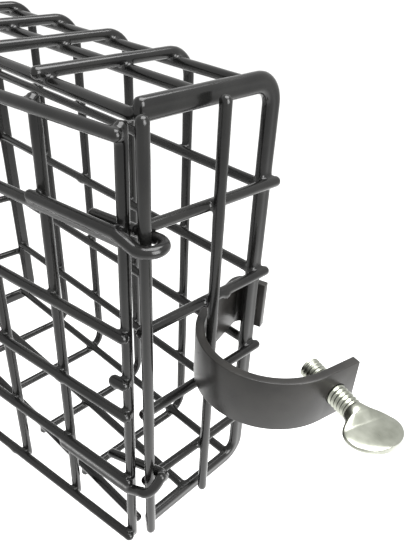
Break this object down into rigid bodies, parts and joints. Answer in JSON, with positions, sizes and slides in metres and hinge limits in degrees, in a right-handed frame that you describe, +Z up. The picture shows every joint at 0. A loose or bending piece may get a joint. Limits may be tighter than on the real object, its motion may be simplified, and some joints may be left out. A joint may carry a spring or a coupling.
{
  "type": "bird feeder",
  "caption": "Wire mesh suet cage with a hinged wire door, a wire latch, and a bent strap with a thumbscrew that clamps it to a pole.",
  "frame": {"origin": "axis of the pole that the clamp holds, at the mid height of the clamp strap", "axes": "+Z up along the pole; +X along the cage's width, from the cage towards the clamp; +Y from the door side to the back of the cage"},
  "size_m": [0.1986, 0.0679, 0.125],
  "materials": {
    "cage_wire": "steel wire dipped in black vinyl, satin gloss",
    "door_wire": "steel wire dipped in black vinyl, satin gloss",
    "clamp_strap": "dark grey powder coat, fine grained, semi-matte",
    "zinc_screw": "zinc plated, lightly scratched"
  },
  "bodies": {
    "cage": {"clamp_strap": "clamp_strap", "left_end_bar_1": "cage_wire", "left_end_bar_2": "cage_wire", "left_end_bar_3": "cage_wire", "left_end_bar_4": "cage_wire", "left_frame_wire": "cage_wire", "left_front_post": "cage_wire", "left_middle_post": "cage_wire", "rail_back_1": "cage_wire", "rail_back_2": "cage_wire", "rail_back_3": "cage_wire", "rail_back_4": "cage_wire", "rail_bottom_back": "cage_wire", "rail_bottom_front": "cage_wire", "rail_bottom_middle": "cage_wire", "rail_top_back": "cage_wire", "rail_top_front": "cage_wire", "rail_top_middle": "cage_wire", "rib_1": "cage_wire", "rib_2": "cage_wire", "rib_3": "cage_wire", "rib_4": "cage_wire", "rib_5": "cage_wire", "rib_6": "cage_wire", "right_end_bar_1": "cage_wire", "right_end_bar_2": "cage_wire", "right_end_bar_3": "cage_wire", "right_end_bar_4": "cage_wire", "right_frame_wire": "cage_wire", "right_front_post": "cage_wire", "right_middle_post": "cage_wire"},
    "door": {"door_bar_1": "door_wire", "door_bar_2": "door_wire", "door_bar_3": "door_wire", "door_bar_4": "door_wire", "door_bar_5": "door_wire", "door_bar_6": "door_wire", "door_post_1": "door_wire", "door_post_2": "door_wire", "door_post_3": "door_wire", "door_post_4": "door_wire", "door_post_5": "door_wire", "door_post_6": "door_wire", "door_stub": "door_wire", "lower_hinge_hook": "door_wire", "upper_hinge_hook": "door_wire"},
    "latch": {"door_latch": "door_wire"},
    "screw_feed": {"screw_tip": "zinc_screw"},
    "screw": {"thumbscrew": "zinc_screw"}
  },
  "joints": [
    {"name": "door_hinge", "type": "hinge", "parent": "cage", "child": "door", "pos_m": [-0.0117, -0.031, 0], "axis": [0, 0, 1], "range_deg": [-7.6, 170]},
    {"name": "latch_turn", "type": "hinge", "parent": "cage", "child": "latch", "pos_m": [-0.1471, -0.031, -0.0003], "axis": [0, 0, 1], "range_deg": [0, 160]},
    {"name": "screw_travel", "type": "slide", "parent": "cage", "child": "screw_feed", "axis": [0.9558, -0.294, 0], "range_m": [-0.0058, 0.0083]},
    {"name": "screw_turn", "type": "hinge", "parent": "screw_feed", "child": "screw", "pos_m": [0.01992, -0.00071, 0], "axis": [0.9558, -0.294, 0], "range_deg": [-2160, 3060]}
  ],
  "couplings": [
    {"joint": "screw_turn", "follows": "screw_travel", "rad_per_m": 5936.9}
  ]
}
